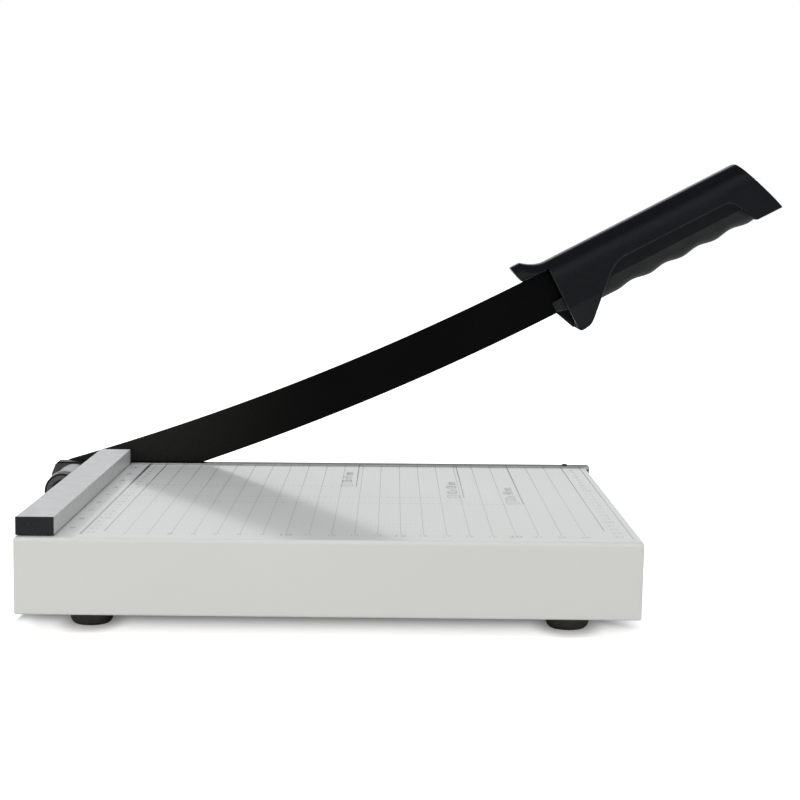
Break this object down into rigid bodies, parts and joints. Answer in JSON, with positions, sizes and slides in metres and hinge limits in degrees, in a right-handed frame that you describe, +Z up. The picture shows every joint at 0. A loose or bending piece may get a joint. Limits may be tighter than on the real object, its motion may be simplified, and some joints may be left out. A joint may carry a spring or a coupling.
{
  "type": "paper trimmer",
  "caption": "Desk paper trimmer: a white steel bed on rubber feet with a fence and an edge bar, and a curved cutting arm with a moulded handle that swings on a sprung pivot.",
  "frame": {"origin": "middle of the whole trimmer's footprint, at the level that the rubber feet stand on", "axes": "+X runs along the cut from the pivot to the handle, +Y points away from the user towards the cutting edge, +Z is up"},
  "size_m": [0.4036, 0.273, 0.2104],
  "materials": {
    "tray": "satin light grey powder coat",
    "blade": "ground dark steel",
    "zinc": "zinc plated",
    "aluminium": "satin anodised",
    "nylon": "natural grey nylon",
    "enamel": "black enamel",
    "plastic": "fine grained black plastic",
    "grip": "soft dark grip",
    "rubber": "matt black"
  },
  "bodies": {
    "base": {"base_tray": "tray", "corner_plate_front_left": "tray", "foot_front_left": "rubber", "foot_screw_front_left": "zinc", "corner_plate_front_right": "tray", "foot_front_right": "rubber", "foot_screw_front_right": "zinc", "corner_plate_rear_left": "tray", "foot_rear_left": "rubber", "foot_screw_rear_left": "zinc", "corner_plate_rear_right": "tray", "foot_rear_right": "rubber", "foot_screw_rear_right": "zinc", "fixed_blade": "blade", "fixed_blade_rivet": "blade", "fixed_blade_screw_left": "zinc", "fixed_blade_nut_left": "zinc", "fixed_blade_screw_middle": "zinc", "fixed_blade_nut_middle": "zinc", "fixed_blade_screw_right": "zinc", "fixed_blade_nut_right": "zinc", "paper_fence": "aluminium", "fence_end_cap": "plastic", "fence_screw_near": "zinc", "fence_nut_near": "zinc", "fence_screw_far": "zinc", "fence_nut_far": "zinc", "pivot_bolt": "zinc", "arm_washer": "zinc", "pivot_spring": "blade", "spring_sleeve": "nylon", "spring_washer": "nylon", "pivot_nut": "enamel"},
    "arm": {"cutting_arm": "enamel", "handle_shell_near": "plastic", "handle_shell_far": "plastic", "finger_grip": "grip", "handle_screw_front": "zinc", "handle_screw_middle": "zinc", "handle_screw_rear": "zinc", "closing_stop": "plastic"}
  },
  "joints": [
    {"name": "arm_pivot", "type": "hinge", "parent": "base", "child": "arm", "pos_m": [-0.18823, 0.1212, 0.0321], "axis": [0, -1, 0], "range_deg": [-17.6, 50]}
  ]
}
